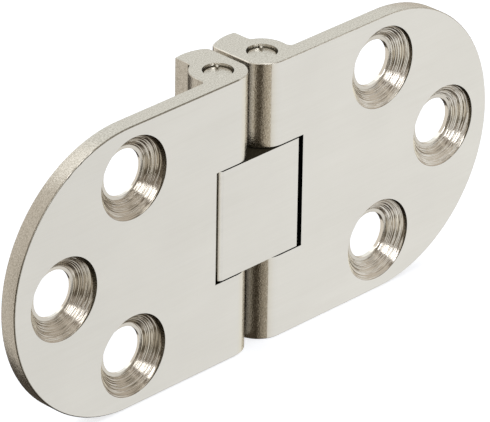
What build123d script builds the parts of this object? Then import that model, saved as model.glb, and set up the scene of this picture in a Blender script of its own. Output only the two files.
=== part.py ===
"""Flat folding table hinge, standing on its long edge: two round-ended leaves on a two-pin centre link.

X runs along the open hinge and Z along the pins. The faces that show on the table look towards -Y.
The origin is the middle of the foot of the hinge. Millimetres.
"""
from build123d import *
import os
from math import atan, degrees, sqrt

os.makedirs("parts", exist_ok=True)

# Driving dimensions of the whole hinge
length = 65.0           # over both leaves, laid open
width = 30.0            # along the pins
leaf_thickness = 1.9
pin_spacing = 6.0
knuckle_radius = 2.9    # about the pin, and from the pin to the show face
edge_break = 0.12       # chamfer round the show face, the back and the knuckle ends

# Stop nose, the lug behind each knuckle
nose_radius = 4.9       # about the pin, to the end of the nose
nose_inner = 2.75       # flat inner side, from the pin towards the other leaf
nose_outer = 1.1        # outer side, from the pin towards the leaf
inner_corner = 0.8      # radius between the inner side and the end of the nose
outer_corner = 0.3      # radius between the end of the nose and its outer side
knuckle_corner = 0.5    # radius between the inner side and the round of the knuckle
root_fillet = 0.45      # where nose, knuckle and plate run into each other

# Centre link and the pocket in each leaf that it turns in
link_length = 10.84
link_width = 11.9
link_edge_run = 0.4     # broken edges of the show face, along the link
link_edge_drop = 0.25   # and into its depth
link_end_play = 0.1     # at each end face of the link
lip_clearance = 0.05    # leaf lip to the link's show face, when folded shut

# Pins: pressed into the leaves, running in the link
pin_radius = 1.55
pin_running_play = 0.05
pin_recess = 0.35
pin_chamfer = 0.2

# Screw holes: two beside the knuckles and one near the round end
hole_radius = 2.4
countersink_radius = 4.3
hole_land = 0.4
inner_hole_x = 17.0
inner_hole_pitch = 19.0
outer_hole_x = 26.1

# Worked out from the above
pin_x = pin_spacing / 2
front_y = -(knuckle_radius + nose_radius) / 2
pin_y = front_y + knuckle_radius
back_y = front_y + leaf_thickness
mid_z = width / 2
end_radius = width / 2
end_centre_x = length / 2 - end_radius
pocket_width = link_width + 2 * link_end_play
pocket_radius = sqrt((knuckle_radius + lip_clearance) ** 2 + knuckle_radius**2)
pocket_reach = pin_x + nose_outer + root_fillet
countersink_angle = 2 * degrees(atan((countersink_radius - hole_radius) / (leaf_thickness - hole_land)))
show_face = Plane.XZ.offset(-front_y)

with BuildPart() as right_leaf:
    # Section across the pin: plate, knuckle and stop nose in one outline
    with BuildSketch(Plane.XY) as section:
        with Locations((pin_x, pin_y)):
            Circle(nose_radius)
        with Locations((pin_x + nose_outer, pin_y)):
            Rectangle(nose_inner + nose_outer, nose_radius, align=(Align.MAX, Align.MIN), mode=Mode.INTERSECT)
        nose_end = section.vertices().filter_by(lambda v: v.Y > pin_y + knuckle_radius)
        fillet(nose_end.sort_by(Axis.X)[0], inner_corner)
        nose_end = section.vertices().filter_by(lambda v: v.Y > pin_y + knuckle_radius)
        fillet(nose_end.sort_by(Axis.X)[-1], outer_corner)
        with Locations((pin_x, pin_y)):
            Circle(knuckle_radius)
        with Locations((pin_x - nose_inner, pin_y)):
            Rectangle(knuckle_radius, 2 * knuckle_radius, align=(Align.MAX, Align.CENTER), mode=Mode.SUBTRACT)
        with Locations((pin_x, front_y)):
            Rectangle(length / 2 - pin_x, leaf_thickness, align=(Align.MIN, Align.MIN))
        roots = section.vertices().filter_by(
            lambda v: pin_x < v.X < end_centre_x and back_y <= v.Y < pin_y + knuckle_radius
        )
        fillet(roots, root_fillet)
        knuckle_front = section.vertices().group_by(Axis.X)[0].sort_by(Axis.Y)[0]
        fillet(knuckle_front, knuckle_corner)
    extrude(amount=width)
    # Half-round outer end
    with BuildSketch(show_face):
        with Locations((0, mid_z)):
            Rectangle(end_centre_x, width, align=(Align.MIN, Align.CENTER))
        with Locations((end_centre_x, mid_z)):
            Circle(end_radius)
    extrude(amount=-(knuckle_radius + nose_radius), mode=Mode.INTERSECT)
    # Broken edges: the whole outline of both long sides, and both rims of the round end
    long_sides = right_leaf.edges().group_by(Axis.Z)[0] + right_leaf.edges().group_by(Axis.Z)[-1]
    round_rims = right_leaf.edges().filter_by(GeomType.CIRCLE).sort_by(SortBy.RADIUS)[-2:]
    chamfer(long_sides + round_rims, edge_break)
    # Pocket for the link, open through the knuckle, with a wall that follows the swing about the pin
    with Locations((pin_x, pin_y, mid_z)):
        Cylinder(pocket_radius, pocket_width, mode=Mode.SUBTRACT)
    with Locations((0, pin_y, mid_z)):
        Box(2 * pocket_reach, nose_radius, pocket_width, align=(Align.CENTER, Align.MIN, Align.CENTER),
            mode=Mode.SUBTRACT)
    # Pin bore
    with Locations((pin_x, pin_y, width)):
        Hole(pin_radius)
    # Countersunk screw holes
    with Locations(show_face):
        with Locations((outer_hole_x, mid_z)):
            CounterSinkHole(hole_radius, countersink_radius, counter_sink_angle=countersink_angle)
        with Locations((inner_hole_x, mid_z)):
            with GridLocations(0, inner_hole_pitch, 1, 2):
                CounterSinkHole(hole_radius, countersink_radius, counter_sink_angle=countersink_angle)
right_leaf.part.label = "right_leaf"
export_step(right_leaf.part, "parts/right_leaf.step")

with BuildPart() as left_leaf:
    mirror(right_leaf.part, about=Plane.YZ)
left_leaf.part.label = "left_leaf"
export_step(left_leaf.part, "parts/left_leaf.step")

with BuildPart() as centre_link:
    # Flat show face and square front, rounded back about both pins
    with BuildSketch(Plane.XY.offset(mid_z - link_width / 2)) as link_section:
        with Locations((0, pin_y)):
            SlotOverall(link_length, link_length - pin_spacing)
        with Locations((0, front_y)):
            Rectangle(link_length, knuckle_radius, align=(Align.CENTER, Align.MIN))
        face_line = link_section.edges().sort_by(Axis.Y)[0]
        chamfer(face_line.vertices(), link_edge_run, link_edge_drop, reference=face_line)
    extrude(amount=link_width)
    with Locations((-pin_x, pin_y, mid_z + link_width / 2), (pin_x, pin_y, mid_z + link_width / 2)):
        Hole(pin_radius + pin_running_play)
centre_link.part.label = "centre_link"
export_step(centre_link.part, "parts/centre_link.step")

for name, side in (("left_pin", -1), ("right_pin", 1)):
    with BuildPart() as pin:
        with BuildSketch(Plane.XY.offset(pin_recess)):
            with Locations((side * pin_x, pin_y)):
                Circle(pin_radius)
        extrude(amount=width - 2 * pin_recess)
        chamfer(pin.edges().filter_by(GeomType.CIRCLE), pin_chamfer)
    pin.part.label = name
    export_step(pin.part, "parts/" + name + ".step")
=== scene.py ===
"""Looks of a flat folding table hinge: two plated leaves on a centre link, photographed on white."""
from math import atan2, cos, pi, radians, sin

import bmesh
import bpy
from mathutils import Matrix, Quaternion, Vector, noise


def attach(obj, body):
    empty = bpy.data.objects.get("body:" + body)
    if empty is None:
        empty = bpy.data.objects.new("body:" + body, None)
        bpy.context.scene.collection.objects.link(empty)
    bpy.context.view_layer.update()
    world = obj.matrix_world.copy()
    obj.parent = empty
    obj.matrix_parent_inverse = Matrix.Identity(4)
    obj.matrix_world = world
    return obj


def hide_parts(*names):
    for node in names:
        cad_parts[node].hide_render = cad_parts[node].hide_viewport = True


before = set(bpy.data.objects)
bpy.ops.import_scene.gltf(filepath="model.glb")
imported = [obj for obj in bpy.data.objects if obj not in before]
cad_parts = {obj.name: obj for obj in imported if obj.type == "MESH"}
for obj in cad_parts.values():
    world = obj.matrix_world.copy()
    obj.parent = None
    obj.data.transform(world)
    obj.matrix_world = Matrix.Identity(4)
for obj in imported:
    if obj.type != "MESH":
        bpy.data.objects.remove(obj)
bpy.context.view_layer.update()
scene = bpy.context.scene

# Camera
# Looks at the hinge from the front left and above through a long lens, as the photograph was taken. Its
# angles, distance and lens were found by fitting a camera to the rims of the six countersinks.
view_azimuth = radians(-46.002)
view_elevation = radians(27.534)
view_roll = radians(0.9)
view_distance = 0.523914
lens_length = 396.92
sensor_width = 36
aim = Vector((0.001001, -0.001, 0.013415))


def towards(azimuth, elevation):
    """Direction from the hinge to an azimuth and an elevation, with azimuth 0 in front of it."""
    return Vector((sin(azimuth) * cos(elevation), -cos(azimuth) * cos(elevation), sin(elevation)))


back = towards(view_azimuth, view_elevation)
level = Vector((cos(view_azimuth), sin(view_azimuth), 0))
upright = back.cross(level)
rightward = level * cos(view_roll) + upright * sin(view_roll)
upward = upright * cos(view_roll) - level * sin(view_roll)
camera = bpy.data.objects.new("camera", bpy.data.cameras.new("camera"))
camera.data.sensor_width = sensor_width
camera.data.lens = lens_length
aimed = Matrix((rightward, upward, back)).transposed().to_4x4()
camera.matrix_world = Matrix.Translation(aim + back * view_distance) @ aimed
scene.collection.objects.link(camera)
scene.camera = camera

# Leaves
# Brass leaves machined from bar: show face ground flat and brushed along the length, the other sides left
# with the fine sandy grain of the plating, countersinks turned with a chattering cutter.
mm = 0.001
left, right = -1, 1
front_y = -3.9 * mm
leaf_thickness = 1.9 * mm
width = 30 * mm
mid_z = 15 * mm
end_centre_x = 17.5 * mm
end_radius = 15 * mm
edge_break = 0.12 * mm
pin_x = 3 * mm
pin_y = -1 * mm
pin_radius = 1.55 * mm
knuckle_radius = 2.9 * mm
pocket_half = 6.05 * mm
pocket_reach = 7.3 * mm
inner_hole_x = 17 * mm
inner_hole_pitch = 19 * mm
outer_hole_x = 26.1 * mm
hole_radius = 2.4 * mm
countersink_radius = 4.3 * mm
# The cones end on a flat ring round the hole, and start under a steep wall on one side of the rim
flat_radius = 2.72 * mm
flat_depths = {left: 1.62 * mm, right: 1.46 * mm}
rim_slopes = {left: 1.05, right: 1.2}       # how fast the cone narrows with depth, at the rim
wall_depths = {left: 0.6 * mm, right: 0.38 * mm}
wall_slope = 0.3                            # how fast the wall narrows with depth
ring_depths = {left: 0.72 * mm, right: 0.95 * mm}
first_seed = 2.0


class Nodes:
    """Short hand for building a node tree."""

    def __init__(self, tree):
        self.tree = tree

    def add(self, kind, inputs=(), **settings):
        node = self.tree.nodes.new(kind)
        for key, value in settings.items():
            setattr(node, key, value)
        for key, value in dict(inputs).items():
            self.put(node.inputs[key], value)
        return node

    def put(self, socket, value):
        if isinstance(value, bpy.types.NodeSocket):
            self.tree.links.new(value, socket)
        else:
            socket.default_value = value

    def math(self, operation, *values):
        node = self.tree.nodes.new("ShaderNodeMath")
        node.operation = operation
        for socket, value in zip(node.inputs, values):
            self.put(socket, value)
        return node.outputs[0]


def nickel(name, colour, roughness, metallic=1.0):
    """A plated surface: the material, its shader and a builder for its nodes."""
    material = bpy.data.materials.new(name)
    material.use_nodes = True
    shader = material.node_tree.nodes["Principled BSDF"]
    shader.inputs["Base Color"].default_value = (*colour, 1)
    shader.inputs["Metallic"].default_value = metallic
    shader.inputs["Roughness"].default_value = roughness
    return material, shader, Nodes(material.node_tree)


def grain(build, scale, detail=3.0, rough=0.55):
    """Noise on the piece's own coordinates, drawn out by a scale for each axis."""
    where = build.add("ShaderNodeTexCoord").outputs["Object"]
    place = build.add("ShaderNodeMapping", {"Vector": where, "Scale": scale})
    texture = build.add("ShaderNodeTexNoise",
                        {"Vector": place.outputs[0], "Scale": 1.0, "Detail": detail, "Roughness": rough})
    return texture.outputs["Fac"]


def along_hinge(build):
    """Distance from the middle of the hinge, along its length."""
    where = build.add("ShaderNodeTexCoord").outputs["Object"]
    return build.add("ShaderNodeSeparateXYZ", {"Vector": where}).outputs["X"]


def spread(build, value, low, high, start=0.3, end=0.7):
    """Maps the middle of a noise on a range."""
    node = build.add("ShaderNodeMapRange",
                     {"Value": value, "From Min": start, "From Max": end, "To Min": low, "To Max": high})
    return node.outputs["Result"]


def tinted(build, share, low, high):
    """Mixes two tones."""
    node = build.add("ShaderNodeMix", data_type="RGBA")
    build.put(node.inputs[0], share)
    node.inputs[6].default_value = (*low, 1)
    node.inputs[7].default_value = (*high, 1)
    return node.outputs[2]


def shaded(build, tone, level):
    """A tone times a level."""
    node = build.add("ShaderNodeVectorMath", {0: tone}, operation="SCALE")
    build.put(node.inputs["Scale"], level)
    return node.outputs[0]


def bumped(build, shader, height, strength, distance):
    """Relief too fine to be cut into the mesh."""
    node = build.add("ShaderNodeBump", {"Height": height, "Strength": strength, "Distance": distance})
    build.put(shader.inputs["Normal"], node.outputs[0])


def brushed_nickel(name):
    """The show faces: fine lines along the hinge over soft clouds, with painted shade making them a little
    darker towards the left end.
    """
    line_scale, cloud_scale, shine_scale = (150, 1, 8000), (110, 1, 160), (60, 1, 2500)
    dark, light = (0.71, 0.695, 0.66), (0.728, 0.713, 0.678)
    shade_end_x, lit_end_x = -28 * mm, 12 * mm
    line_height, line_strength = 0.01 * mm, 0.06
    material, shader, build = nickel(name, (0.72, 0.70, 0.665), 0.36)
    lines = grain(build, line_scale)
    clouds = grain(build, cloud_scale)
    tones = tinted(build, spread(build, lines, 0, 1), dark, light)
    # Painted shade: the show faces darken towards the left end
    shade_to_left = spread(build, along_hinge(build), 0.94, 1.01, start=shade_end_x, end=lit_end_x)
    level = build.math("MULTIPLY", shade_to_left, spread(build, clouds, 0.98, 1.02))
    build.put(shader.inputs["Base Color"], shaded(build, tones, level))
    build.put(shader.inputs["Roughness"], spread(build, grain(build, shine_scale), 0.31, 0.38))
    bumped(build, shader, lines, line_strength, line_height)
    return material


def sandy_nickel(name, light, dark, fade=None, rough=(0.17, 0.3), metallic=1.0, specular=0.5):
    """The grainy plating of every face that isn't brushed, with painted shade fading it darker where hardly
    any light gets in.
    """
    sand_scale, shine_scale = (6500, 6500, 6500), (2500, 2500, 2500)
    sand_height, sand_strength = 0.03 * mm, 0.8
    darkest = 0.3
    material, shader, build = nickel(name, light, 0.25, metallic)
    shader.inputs["Specular IOR Level"].default_value = specular
    sand = grain(build, sand_scale, detail=2.0)
    tones = tinted(build, spread(build, sand, 0, 1), dark, light)
    if fade:
        # Painted shade, darker towards the middle of the hinge
        from_middle = build.math("ABSOLUTE", along_hinge(build))
        tones = shaded(build, tones, spread(build, from_middle, darkest, 1.0, start=fade[0], end=fade[1]))
    build.put(shader.inputs["Base Color"], tones)
    build.put(shader.inputs["Roughness"], spread(build, grain(build, shine_scale), *rough))
    bumped(build, shader, sand, sand_strength, sand_height)
    return material


def turned_nickel(name, colour):
    """The shiny rings that the countersink leaves."""
    shine_scale = (4000, 4000, 4000)
    material, shader, build = nickel(name, colour, 0.2)
    build.put(shader.inputs["Roughness"], spread(build, grain(build, shine_scale), 0.1, 0.19))
    return material


brushed = brushed_nickel("brushed_nickel")
sandy = sandy_nickel("sandy_nickel", (0.84, 0.825, 0.785), (0.55, 0.535, 0.49))
# Painted shade on the knuckles beside the gap: darkened towards the middle, and the second copy darker all
# over for the right leaf's lower knuckle
crevice = sandy_nickel("crevice_nickel", (0.82, 0.79, 0.73), (0.52, 0.48, 0.42),
                       fade=(0.12 * mm, 0.45 * mm))
low_crevice = sandy_nickel("low_crevice_nickel", (0.57, 0.54, 0.49), (0.36, 0.33, 0.28),
                           fade=(0.12 * mm, 0.9 * mm))
# Painted shade: a dark plating for faces that stand in shade, in the pocket, on the countersink walls, beside
# the burr, at the nose roots and on the link and pin shanks
recess = sandy_nickel("recess_nickel", (0.17, 0.16, 0.13), (0.1, 0.09, 0.07))
# Painted shade: the pocket and the narrow seams are painted nearly black, neither mirroring nor shining,
# where no light comes back from them
black_gap = sandy_nickel("black_gap_nickel", (0.002, 0.0017, 0.0013), (0.001, 0.0008, 0.0006),
                         rough=(0.6, 0.8), metallic=0.0, specular=0.0)
seam = sandy_nickel("seam_nickel", (0.05, 0.045, 0.033), (0.028, 0.025, 0.017),
                    rough=(0.5, 0.7), metallic=0.0, specular=0.0)
# Painted shade: a darker line along the broken front edge of the left leaf
painted_shade_edge = sandy_nickel("worn_edge_nickel", (0.42, 0.4, 0.35), (0.24, 0.22, 0.19))
# Painted highlight: a near-white plating for the burr's outer side and the inner sides of the noses
painted_highlight = sandy_nickel("rubbed_nickel", (1.0, 0.99, 0.95), (0.9, 0.88, 0.84))
turned = turned_nickel("turned_nickel", (0.72, 0.69, 0.64))
# Painted shade: a darker copy of the turned plating, for the left leaf's countersinks and faces in the holes
# that look straight ahead
painted_shade_turned = turned_nickel("dull_turned_nickel", (0.6, 0.565, 0.51))
reamed = turned_nickel("reamed_nickel", (0.95, 0.94, 0.91))


def turned_countersinks():
    """Node tree that turns the cutters for a leaf's three countersunk holes, rings and chatter included."""
    tree = bpy.data.node_groups.new("turned_countersinks", "GeometryNodeTree")
    tree.interface.new_socket("Geometry", in_out="OUTPUT", socket_type="NodeSocketGeometry")
    sizes = (
        ("Inner X", inner_hole_x),
        ("Outer X", outer_hole_x),
        ("Pitch", inner_hole_pitch),
        ("Middle Z", mid_z),
        ("Face Y", front_y),
        ("Thickness", leaf_thickness),
        ("Hole Radius", hole_radius),
        ("Flat Radius", flat_radius),
        ("Flat Depth", flat_depths[left]),
        ("Rim Radius", countersink_radius),
        ("Rim Slope", rim_slopes[left]),
        ("Wall Depth", wall_depths[left]),
        ("Wall Slope", wall_slope),
        ("Wall Turn", radians(50)),
        ("Ring Depth", ring_depths[left]),
        ("Rim Fade", 0.08 * mm),
        ("Rings", 15.0),
        ("Ridge", 0.04),
        ("Waviness", 0.12),
        ("Drift", 0.08),
        ("Overrun", 0.3 * mm),
        ("Play", 0.01 * mm),
        ("Seed", first_seed),
    )
    for name, value in sizes:
        socket = tree.interface.new_socket(name, in_out="INPUT", socket_type="NodeSocketFloat")
        socket.default_value = value
    tree.interface.new_socket("Material", in_out="INPUT", socket_type="NodeSocketMaterial")
    build = Nodes(tree)
    given = build.add("NodeGroupInput").outputs
    # One flat grid a hole: columns go round the hole, rows go down the cutter's profile. The first row closes
    # the cutter over the face, the next ones run down wall and cone to the foot, and the last three are the
    # edge of the hole, its far end and the point that closes the cutter there.
    turns = 120
    rim, foot = 1, 191
    edge, far, last = foot + 1, foot + 2, foot + 3
    grid = build.add("GeometryNodeMeshGrid", {"Size X": 1.0, "Size Y": 1.0, "Vertices X": turns + 1,
                                             "Vertices Y": last + 1})
    low = build.math("SUBTRACT", given["Middle Z"], build.math("MULTIPLY", given["Pitch"], 0.5))
    start = build.add("ShaderNodeCombineXYZ", {"X": given["Inner X"], "Z": low})
    step = build.add("ShaderNodeCombineXYZ", {"Z": given["Pitch"]})
    pair = build.add("GeometryNodeMeshLine", {"Count": 2, "Start Location": start.outputs[0],
                                             "Offset": step.outputs[0]})
    middle = build.add("ShaderNodeCombineXYZ", {"X": given["Outer X"], "Z": given["Middle Z"]})
    single = build.add("GeometryNodeMeshLine", {"Count": 1, "Start Location": middle.outputs[0]})
    holes = build.add("GeometryNodeJoinGeometry")
    tree.links.new(pair.outputs[0], holes.inputs[0])
    tree.links.new(single.outputs[0], holes.inputs[0])
    place = build.add("GeometryNodeInputPosition")
    centred = build.add("GeometryNodeStoreNamedAttribute",
                        {"Geometry": holes.outputs[0], "Name": "hole_centre", "Value": place.outputs[0]},
                        data_type="FLOAT_VECTOR", domain="POINT")
    copies = build.add("GeometryNodeInstanceOnPoints",
                       {"Points": centred.outputs[0], "Instance": grid.outputs[0]})
    real = build.add("GeometryNodeRealizeInstances", {"Geometry": copies.outputs[0]})
    centre = build.add("GeometryNodeInputNamedAttribute", {"Name": "hole_centre"}, data_type="FLOAT_VECTOR")
    offset = build.add("ShaderNodeVectorMath", {0: place.outputs[0], 1: centre.outputs[0]},
                       operation="SUBTRACT")
    flat = build.add("ShaderNodeSeparateXYZ", {"Vector": offset.outputs[0]})
    angle = build.math("MULTIPLY", build.math("ADD", flat.outputs["X"], 0.5), 2 * pi)
    row = build.math("ROUND", build.math("MULTIPLY", build.math("ADD", flat.outputs["Y"], 0.5), last))
    # Down a steep wall under one side of the rim, where the cutter ran out of true, down the slightly hollow
    # cone, across the flat and through the hole
    wall_fade = 2.0
    turned_off = build.math("COSINE", build.math("SUBTRACT", angle, given["Wall Turn"]))
    one_side = build.math("POWER", build.math("MULTIPLY_ADD", turned_off, 0.5, 0.5), wall_fade)
    wall_depth = build.math("MULTIPLY", given["Wall Depth"], one_side)
    fallen = build.add("ShaderNodeMapRange", {"Value": row, "From Min": rim, "From Max": foot})
    down = fallen.outputs["Result"]
    depth = given["Flat Depth"]
    travel = build.math("ADD", depth, given["Overrun"])
    drop = build.math("SUBTRACT", build.math("MULTIPLY", down, travel), given["Overrun"])
    wall = build.math("SUBTRACT", given["Rim Radius"], build.math("MULTIPLY", drop, given["Wall Slope"]))
    wall_run = build.math("MULTIPLY", wall_depth, given["Wall Slope"])
    wall_foot = build.math("SUBTRACT", given["Rim Radius"], wall_run)
    below = build.math("SUBTRACT", drop, wall_depth)
    cone_depth = build.math("SUBTRACT", depth, wall_depth)
    straight = build.math("MULTIPLY", cone_depth, given["Rim Slope"])
    cone_run = build.math("SUBTRACT", wall_foot, given["Flat Radius"])
    left_over = build.math("SUBTRACT", cone_run, straight)
    bend = build.math("DIVIDE", left_over, build.math("MULTIPLY", cone_depth, cone_depth))
    fall = build.math("ADD", given["Rim Slope"], build.math("MULTIPLY", bend, below))
    cone = build.math("SUBTRACT", wall_foot, build.math("MULTIPLY", fall, below))
    on_cone = build.math("LESS_THAN", row, foot + 0.5)
    past_cone = build.math("SUBTRACT", 1.0, on_cone)
    bore = build.math("MULTIPLY", build.math("ADD", given["Hole Radius"], given["Play"]), past_cone)
    radius = build.math("ADD", build.math("MULTIPLY", build.math("MINIMUM", wall, cone), on_cone), bore)
    # Rings: thin ridges where a noise that runs fast down the cone crosses its middle. Each hole has its own
    # stretch of the noise.
    noise_shift, noise_detail, noise_roughness = 1700.0, 3.0, 0.62
    east = build.math("MULTIPLY", build.math("COSINE", angle), given["Drift"])
    north = build.math("MULTIPLY", build.math("SINE", angle), given["Drift"])
    ring_place = build.math("MULTIPLY", down, given["Rings"])
    along = build.add("ShaderNodeCombineXYZ", {"X": ring_place, "Y": east, "Z": north})
    moved = build.add("ShaderNodeVectorMath", {0: centre.outputs[0]}, operation="SCALE")
    build.put(moved.inputs["Scale"], noise_shift)
    shifted = build.add("ShaderNodeVectorMath", {0: along.outputs[0], 1: moved.outputs[0]}, operation="ADD")
    rings = build.add("ShaderNodeTexNoise", {"Vector": shifted.outputs[0], "W": given["Seed"], "Scale": 1.0,
                                            "Detail": noise_detail, "Roughness": noise_roughness},
                      noise_dimensions="4D")
    crease = build.math("ABSOLUTE", build.math("SUBTRACT", rings.outputs["Fac"], 0.5))
    past_wall = build.add("ShaderNodeMapRange", {"Value": below, "From Max": given["Rim Fade"]})
    share = build.math("MULTIPLY", past_wall.outputs["Result"], on_cone)
    ridges = build.math("MINIMUM", crease, given["Ridge"])
    uneven = build.math("MULTIPLY_ADD", crease, given["Waviness"], ridges)
    ring_cut = build.math("MULTIPLY", build.math("MULTIPLY", uneven, given["Ring Depth"]), share)
    open_rows = build.math("MULTIPLY", build.math("GREATER_THAN", row, rim - 0.5),
                           build.math("LESS_THAN", row, far + 0.5))
    turned_radius = build.math("MULTIPLY", build.math("ADD", radius, ring_cut), open_rows)
    rest = build.math("ADD", build.math("SUBTRACT", given["Thickness"], depth), given["Overrun"])
    through = build.math("MULTIPLY", build.math("GREATER_THAN", row, edge + 0.5), rest)
    x = build.math("MULTIPLY", turned_radius, build.math("COSINE", angle))
    y = build.math("ADD", given["Face Y"], build.math("ADD", drop, through))
    z = build.math("MULTIPLY", turned_radius, build.math("SINE", angle))
    spot = build.add("ShaderNodeCombineXYZ", {"X": x, "Y": y, "Z": z})
    final = build.add("ShaderNodeVectorMath", {0: spot.outputs[0], 1: centre.outputs[0]}, operation="ADD")
    formed = build.add("GeometryNodeSetPosition", {"Geometry": real.outputs[0], "Position": final.outputs[0]})
    outward = build.add("GeometryNodeFlipFaces", {"Mesh": formed.outputs[0]})
    weld = 0.0005 * mm
    closed = build.add("GeometryNodeMergeByDistance", {"Geometry": outward.outputs[0], "Distance": weld})
    coated = build.add("GeometryNodeSetMaterial",
                       {"Geometry": closed.outputs[0], "Material": given["Material"]})
    build.add("NodeGroupOutput", {"Geometry": coated.outputs[0]})
    return tree


def made_by(tree, name, **inputs):
    """Runs a node tree and returns its result as a plain mesh."""
    carrier = bpy.data.objects.new(name, bpy.data.meshes.new(name))
    scene.collection.objects.link(carrier)
    modifier = carrier.modifiers.new("nodes", "NODES")
    modifier.node_group = tree
    for item in tree.interface.items_tree:
        if item.in_out == "INPUT" and item.name.replace(" ", "_") in inputs:
            modifier[item.identifier] = inputs[item.name.replace(" ", "_")]
    bpy.context.view_layer.update()
    mesh = bpy.data.meshes.new_from_object(carrier.evaluated_get(bpy.context.evaluated_depsgraph_get()))
    bpy.data.objects.remove(carrier)
    return mesh


def merged_copy(node, split_x=None):
    """A closed copy of a CAD node's mesh, with its flat faces whole, split at an X where a finish ends."""
    weld, flat_angle = 0.0001 * mm, radians(0.5)
    bm = bmesh.new()
    bm.from_mesh(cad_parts[node].data)
    bmesh.ops.remove_doubles(bm, verts=bm.verts, dist=weld)
    bmesh.ops.dissolve_limit(bm, angle_limit=flat_angle, verts=bm.verts, edges=bm.edges)
    if split_x is not None:
        parts = list(bm.verts) + list(bm.edges) + list(bm.faces)
        bmesh.ops.bisect_plane(bm, geom=parts, plane_co=(split_x, 0, 0), plane_no=(1, 0, 0))
    mesh = bpy.data.meshes.new(node)
    bm.to_mesh(mesh)
    bm.free()
    return mesh


def cut(mesh, cutter, name):
    """The mesh less the cutter, as a new object."""
    body = bpy.data.objects.new(name, mesh)
    tool = bpy.data.objects.new("tool", cutter)
    scene.collection.objects.link(body)
    scene.collection.objects.link(tool)
    boolean = body.modifiers.new("cut", "BOOLEAN")
    boolean.operation = "DIFFERENCE"
    boolean.solver = "EXACT"
    boolean.object = tool
    bpy.context.view_layer.update()
    result = bpy.data.meshes.new_from_object(body.evaluated_get(bpy.context.evaluated_depsgraph_get()))
    body.modifiers.clear()
    body.data = result
    bpy.data.objects.remove(tool)
    return body


def finished(piece, materials, finish_of):
    """Gives each face of a piece the finish that a rule picks for it."""
    piece.data.materials.clear()
    for material in materials:
        piece.data.materials.append(material)
    for face in piece.data.polygons:
        face.material_index = materials.index(finish_of(face))


level_normal = 0.98
deep_in_hole = front_y + 1.2 * mm


def smooth(piece, limit=50):
    """Shades curved faces smooth, keeps edges sharper than the limit and round the flats in the holes."""
    bm = bmesh.new()
    bm.from_mesh(piece.data)
    for face in bm.faces:
        face.smooth = True
    for edge in bm.edges:
        gentle = len(edge.link_faces) == 2 and edge.calc_face_angle() < radians(limit)
        flat = [abs(face.normal.y) > level_normal for face in edge.link_faces]
        round_a_flat = edge.verts[0].co.y > deep_in_hole and any(flat) and not all(flat)
        edge.smooth = gentle and not round_a_flat
    bm.to_mesh(piece.data)
    bm.free()
    weighted = piece.modifiers.new("weighted", "WEIGHTED_NORMAL")
    weighted.keep_sharp = True
    bpy.context.view_layer.update()
    result = bpy.data.meshes.new_from_object(piece.evaluated_get(bpy.context.evaluated_depsgraph_get()))
    piece.modifiers.clear()
    piece.data = result


stake_direction = radians(48)
stake_depth = 0.24 * mm
stake_size = (0.42 * mm, 0.2 * mm, 0.15 * mm)
stake_lean = radians(-18)
stake_roughness = 6000
stake_unevenness = 0.03 * mm


def staked(mesh, side):
    """Adds the lip that is punched from the rim of each pin bore over the end of the pin."""
    bm = bmesh.new()
    bm.from_mesh(mesh)
    out = Vector((cos(stake_direction), sin(stake_direction), 0))
    for end, inward in ((0, 1), (width, -1)):
        pin_end = Vector((side * pin_x, pin_y, end + inward * stake_depth))
        place = Matrix.Translation(pin_end + out * (pin_radius - stake_size[0] / 2))
        lean = Matrix.Rotation(stake_direction, 4, "Z") @ Matrix.Rotation(inward * stake_lean, 4, "Y")
        shape = Matrix.Diagonal((*stake_size, 1))
        lip = bmesh.ops.create_icosphere(bm, subdivisions=3, radius=1, matrix=place @ lean @ shape)
        for vertex in lip["verts"]:
            vertex.co += noise.noise_vector(vertex.co * stake_roughness) * stake_unevenness
    bm.to_mesh(mesh)
    bm.free()


# Knocks have raised a burr on the front rim of the left leaf's round end, between two angles about its centre
burr_from, burr_to = radians(54), radians(72)
burr_radius = 0.1 * mm
burr_steps, burr_sides = 72, 8
burr_roughness = 1900
burr_mean, burr_swing, burr_least = 0.75, 0.9, 0.2
burr_taper, burr_tip = 4, 0.05


def burred(mesh, side):
    """Adds the burr along the front rim of the round end."""
    bm = bmesh.new()
    bm.from_mesh(mesh)
    forward = Vector((0, -1, 0))
    rings = []
    for step in range(burr_steps + 1):
        lift = burr_from + (burr_to - burr_from) * step / burr_steps
        out = Vector((side * cos(lift), 0, sin(lift)))
        end_centre = Vector((side * end_centre_x, front_y + edge_break / 2, mid_z))
        middle = end_centre + out * (end_radius - edge_break / 2)
        uneven = max(burr_mean + burr_swing * noise.noise(middle * burr_roughness), burr_least)
        tapered = min(1, burr_taper * sin(pi * step / burr_steps) + burr_tip)
        ring = []
        for turn in range(burr_sides):
            spoke = 2 * pi * turn / burr_sides
            reach = (out * cos(spoke) + forward * sin(spoke)) * (burr_radius * uneven * tapered)
            ring.append(bm.verts.new(middle + reach))
        rings.append(ring)
    shell = []
    for first, second in zip(rings, rings[1:]):
        for turn in range(burr_sides):
            after = (turn + 1) % burr_sides
            shell.append(bm.faces.new((first[turn], first[after], second[after], second[turn])))
    shell += [bm.faces.new(rings[0]), bm.faces.new(rings[-1])]
    bmesh.ops.recalc_face_normals(bm, faces=shell)
    bm.to_mesh(mesh)
    bm.free()


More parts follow.
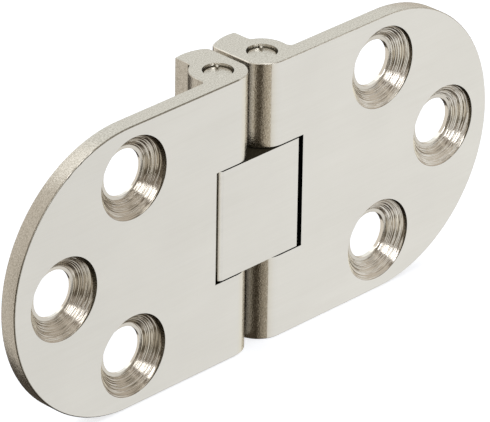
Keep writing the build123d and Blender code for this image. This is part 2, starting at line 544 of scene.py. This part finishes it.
# Where a face is and which way it looks tell its finish. Normals are compared with these shares of an axis.
mostly = 0.5
wall_normal = -0.45
show_face_normal = 0.999
knuckle_end_normal = 0.9
nose_side_normal = 0.3
hair = 0.01 * mm
skin = 0.001 * mm
holes = (
    (inner_hole_x, mid_z - inner_hole_pitch / 2),
    (inner_hole_x, mid_z + inner_hole_pitch / 2),
    (outer_hole_x, mid_z),
)
hole_margin = 0.1 * mm
black_until_y = pin_y + 0.5 * mm
burr_shows_from = 0.008 * mm
knuckle_front_y = pin_y - 0.8 * mm
brushed_from_x = {left: pin_x - knuckle_radius * sin(radians(20)),
                  right: pin_x - knuckle_radius * sin(radians(27))}
nose_root_x, nose_root_y, nose_root_radius = 4.55 * mm, 1.97 * mm, 0.47 * mm
nose_y = pin_y + 1 * mm
nose_side_x = 1.2 * mm


def hole_finish(normal, depth, away, side):
    """Finish of a face in a countersunk hole, at its depth and its distance from the hole's middle."""
    if depth > flat_depths[side] + hair:
        return reamed
    # Painted shade on the steep wall under the rim
    if normal.y > wall_normal and away > countersink_radius - wall_slope * depth - hair:
        return recess
    # A darker copy of the turned plating, painted shade, on the left leaf's cones and on faces that look
    # straight ahead
    return painted_shade_turned if side == left or normal.y < -level_normal else turned


def rim_finish(normal, depth, across):
    """Finish of a face on the broken front edge of the left leaf, at its place across the round end."""
    raised = across.length - (end_radius - edge_break + depth)
    # Painted highlight on the burr's outer side and painted shade on its front
    if raised > burr_shows_from and burr_from < atan2(across.y, across.x) < burr_to:
        return recess if normal.y < -mostly else painted_highlight
    # Painted shade along the rest of the broken edge
    return painted_shade_edge


def leaf_finish(face, side):
    """Finish of a face of a leaf."""
    centre, normal = face.center, face.normal
    out = abs(centre.x)
    depth = centre.y - front_y
    for x, z in holes:
        away = Vector((out - x, centre.z - z)).length
        if away < countersink_radius + hole_margin and depth > skin:
            return hole_finish(normal, depth, away, side)
    if normal.y < -show_face_normal and depth < skin:
        return brushed
    # Painted shade in the pocket: black near the front, dark further back
    if abs(centre.z - mid_z) < pocket_half + hair and out < pocket_reach:
        return black_gap if centre.y < black_until_y else recess
    if side == left and depth < edge_break and out > pin_x:
        return rim_finish(normal, depth, Vector((out - end_centre_x, centre.z - mid_z)))
    # Painted shade on the knuckles beside the gap, darker on the right leaf's lower knuckle
    if abs(normal.z) < mostly and centre.y < knuckle_front_y and out < pin_x:
        if out > brushed_from_x[side]:
            return brushed
        return low_crevice if side == right and centre.z < mid_z else crevice
    # Painted shade in the corners at the roots of the noses
    from_root = Vector((out - nose_root_x, centre.y - nose_root_y)).length
    if from_root < nose_root_radius and abs(normal.z) < knuckle_end_normal:
        return recess
    # Painted highlight on the inner sides of the noses
    if centre.y > nose_y and normal.x * side < -nose_side_normal and out < nose_side_x:
        return painted_highlight
    return sandy


leaf_finishes = (brushed, sandy, turned, painted_shade_turned, reamed, crevice, low_crevice, recess, black_gap,
                 painted_shade_edge, painted_highlight)
tree = turned_countersinks()
for side, body in ((left, "left_leaf"), (right, "right_leaf")):
    tool = made_by(tree, "tool", Inner_X=side * inner_hole_x, Outer_X=side * outer_hole_x,
                   Flat_Depth=flat_depths[side], Rim_Slope=rim_slopes[side], Wall_Depth=wall_depths[side],
                   Ring_Depth=ring_depths[side], Seed=first_seed + side, Material=turned)
    piece = cut(merged_copy(body, split_x=side * brushed_from_x[side]), tool, body + "_plated")
    staked(piece.data, side)
    if side == left:
        burred(piece.data, side)
    finished(piece, leaf_finishes, lambda face: leaf_finish(face, side))
    smooth(piece)
    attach(piece, body)
    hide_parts(body)

# Centre link
# Small plated brass block that both pins run through. Its show face is brushed and flush with the leaves,
# its back is rounded about the pins, and its other sides carry painted shade, dark because they stand close
# to the pocket.
link_play = 0.05 * mm
link_edge_x = 5 * mm
link_edge_y = front_y + 0.3 * mm
edge_wider = Vector((0.28 * mm, 0, 0))
edge_nearer = Vector((0, -0.15 * mm, 0))
back_normal = 0.2


def link_finish(face):
    """Finish of a face of the link."""
    if face.normal.y < -mostly:
        return brushed
    if face.normal.y > back_normal:
        return sandy
    # Painted shade on the top, bottom and ends of the link
    return seam if abs(face.normal.z) > mostly else recess


link = bpy.data.objects.new("centre_link_plated", merged_copy("centre_link"))
scene.collection.objects.link(link)
finished(link, (brushed, recess, sandy, seam), link_finish)
for vertex in link.data.vertices:
    vertex.co.z += link_play if vertex.co.z < mid_z else -link_play
    # The right-hand edge of the show face is nearly square
    if vertex.co.x > link_edge_x and vertex.co.y < link_edge_y:
        vertex.co += edge_wider if vertex.co.y < front_y + hair else edge_nearer
smooth(link)
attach(link, "link")
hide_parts("centre_link")

# Pins
# Two turned pins, each pressed into the knuckles of its leaf and held by the lips staked over its ends. The
# ends are plated like the knuckles round them, and the shanks are painted dark in the bores as shade.
pin_edge_limit = 30
pin_end_normal = 0.99


def pin_finish(face):
    """Finish of a face of a pin."""
    # Painted shade on the shanks
    return sandy if abs(face.normal.z) > pin_end_normal else recess


for side in ("left", "right"):
    pin = bpy.data.objects.new(side + "_pin_plated", merged_copy(side + "_pin"))
    scene.collection.objects.link(pin)
    finished(pin, (sandy, recess), pin_finish)
    smooth(pin, pin_edge_limit)
    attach(pin, side + "_leaf")
    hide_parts(side + "_pin")

# Studio
# White paper and a white surround for the eye. The metal sees lighter and darker areas round it instead, and
# one lamp, which give it the bands and the bright wedges that the photograph shows.
paper_reach = 3.0
paper_glow = 0.62
corners = [(-paper_reach, -paper_reach, 0), (paper_reach, -paper_reach, 0),
           (paper_reach, paper_reach, 0), (-paper_reach, paper_reach, 0)]
floor_mesh = bpy.data.meshes.new("floor")
floor_mesh.from_pydata(corners, [], [(0, 1, 2, 3)])
floor = bpy.data.objects.new("floor", floor_mesh)
scene.collection.objects.link(floor)
paper = bpy.data.materials.new("paper")
paper.use_nodes = True
build = Nodes(paper.node_tree)
shader = paper.node_tree.nodes["Principled BSDF"]
shader.inputs["Base Color"].default_value = (0.66, 0.72, 0.85, 1)
shader.inputs["Roughness"].default_value = 0.9
shader.inputs["Emission Color"].default_value = (1, 1, 1, 1)
ray = build.add("ShaderNodeLightPath")
glow = build.math("MULTIPLY", ray.outputs["Is Camera Ray"], paper_glow)
build.put(shader.inputs["Emission Strength"], glow)
floor_mesh.materials.append(paper)
floor.visible_glossy = False

world = bpy.data.worlds.new("studio")
world.use_nodes = True
scene.world = world
build = Nodes(world.node_tree)
direction = build.add("ShaderNodeTexCoord").outputs["Generated"]
parts = build.add("ShaderNodeSeparateXYZ", {"Vector": direction}).outputs
forwards = build.math("MULTIPLY", parts["Y"], -1.0)
azimuth = build.math("DEGREES", build.math("ARCTAN2", parts["X"], forwards))
elevation = build.math("DEGREES", build.math("ARCSINE", parts["Z"]))


def inside(angle, low, high, soft):
    """How far an angle lies inside a range with soft ends."""
    middle, half = (low + high) / 2, (high - low) / 2
    turned_off = build.math("WRAP", build.math("SUBTRACT", angle, middle), 180.0, -180.0)
    share = build.add("ShaderNodeMapRange", {"Value": build.math("ABSOLUTE", turned_off),
                                            "From Min": half + soft / 2, "From Max": half - soft / 2},
                      interpolation_type="SMOOTHSTEP")
    return share.outputs["Result"]


def area(surround, azimuths, elevations, tone, soft):
    """An area of the studio round the hinge with a tone of its own."""
    share = build.math("MULTIPLY", inside(azimuth, *azimuths, soft), inside(elevation, *elevations, soft))
    tones = build.add("ShaderNodeMix", data_type="RGBA")
    build.put(tones.inputs[0], share)
    build.put(tones.inputs[6], surround)
    tones.inputs[7].default_value = (*tone, 1)
    return tones.outputs[2]


# Azimuths and elevations in degrees, tone, width of the soft border, and what mirrors it to the camera
studio = (
    ((100, 160), (12, 60), (0.87, 0.86, 0.81), 16),         # top faces and top edges
    ((158, 202), (40, 62), (1.18, 1.14, 1.06), 6),          # bright stretch of the left rim
    ((-8, 68), (-50, 4), (1.03, 1.03, 1.01), 10),           # show faces
    ((68, 92), (-42, -14), (1.1, 1.06, 0.92), 10),          # left knuckle, where it starts to turn away
    ((92, 140), (-42, -14), (0.5, 0.46, 0.38), 10),         # left knuckle, beside the gap
    ((20, 90), (44, 78), (0.16, 0.14, 0.11), 12),           # dark lines low in the countersinks
    ((-40, 10), (0, 62), (0.22, 0.18, 0.14), 12),           # both sides of the wedge in the countersinks
    ((-10, 5), (-44, -8), (1.2, 1.17, 1.06), 8),            # edge of the brushing on the right knuckle
    ((-38, -8), (-54, 4), (0.15, 0.125, 0.09), 8),          # right side of the countersinks
    ((-36, -6), (-40, -14), (0.6, 0.54, 0.44), 12),         # right knuckle, lighter part
    ((-66, -38), (-60, 10), (0.06, 0.047, 0.03), 8),        # right knuckle, dark band
    ((-116, -66), (-60, 10), (0.14, 0.11, 0.075), 10),      # right knuckle, beside the gap
    ((100, 200), (-62, -44), (0.05, 0.04, 0.03), 12),       # low end of the left rim
    ((138, 196), (-48, -18), (0.05, 0.04, 0.03), 16),       # low end of the left rim
    ((-180, 180), (-130, -58), (0.05, 0.04, 0.03), 14),     # upper right of the countersinks
    ((-180, 180), (66, 130), (1.5, 1.45, 1.35), 8),         # burr on the left rim
)
surround = (0.66, 0.6, 0.52, 1)
for azimuths, elevations, tone, soft in studio:
    surround = area(surround, azimuths, elevations, tone, soft)
ray = build.add("ShaderNodeLightPath")
seen = build.add("ShaderNodeMix", data_type="RGBA")
build.put(seen.inputs[0], ray.outputs["Is Camera Ray"])
build.put(seen.inputs[6], surround)
seen.inputs[7].default_value = (1, 1, 1, 1)
build.put(world.node_tree.nodes["Background"].inputs["Color"], seen.outputs[2])

lamp_azimuth, lamp_elevation, lamp_distance = radians(-16), radians(30), 0.7
lamp_width, lamp_height, lamp_power = 0.25, 0.42, 1.0
lamp_turn = radians(40)
lamp_direction = towards(lamp_azimuth, lamp_elevation)
lamp = bpy.data.objects.new("key_lamp", bpy.data.lights.new("key_lamp", "AREA"))
lamp.data.shape = "RECTANGLE"
lamp.data.size = lamp_width
lamp.data.size_y = lamp_height
lamp.data.energy = lamp_power
lamp.location = aim + lamp_direction * lamp_distance
lamp.rotation_mode = "QUATERNION"
lamp.rotation_quaternion = lamp_direction.to_track_quat("Z", "Y") @ Quaternion((0, 0, 1), lamp_turn)
scene.collection.objects.link(lamp)

scene.view_settings.view_transform = "Standard"
